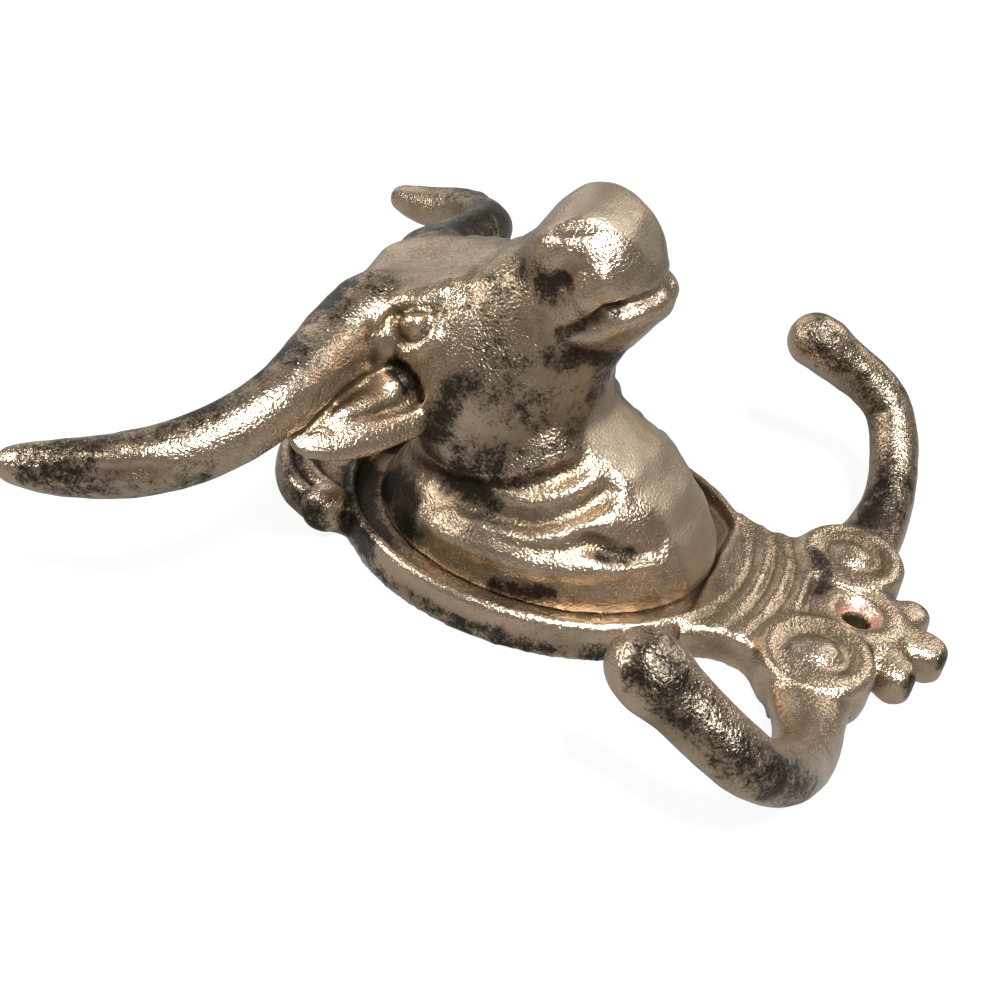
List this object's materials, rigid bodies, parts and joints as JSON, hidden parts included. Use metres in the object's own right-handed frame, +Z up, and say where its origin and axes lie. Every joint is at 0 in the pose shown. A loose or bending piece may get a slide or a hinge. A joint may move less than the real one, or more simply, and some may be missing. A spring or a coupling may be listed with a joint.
{
  "type": "wall hook",
  "caption": "Cast iron coat hook: a steer's head with long horns on an oval scrolled plate, above hooks with ball ends.",
  "frame": {"origin": "on the wall, midway between the two wall screws", "axes": "+X to the right as the hook is seen, +Y into the wall, +Z up the wall"},
  "size_m": [0.1618, 0.0853, 0.1762],
  "materials": {
    "antique_iron": "rubbed copper paint",
    "screw_steel": "plain zinc"
  },
  "bodies": {
    "root": {"hook_plate": "antique_iron", "steer_head": "antique_iron", "head_screw": "screw_steel"}
  },
  "joints": []
}
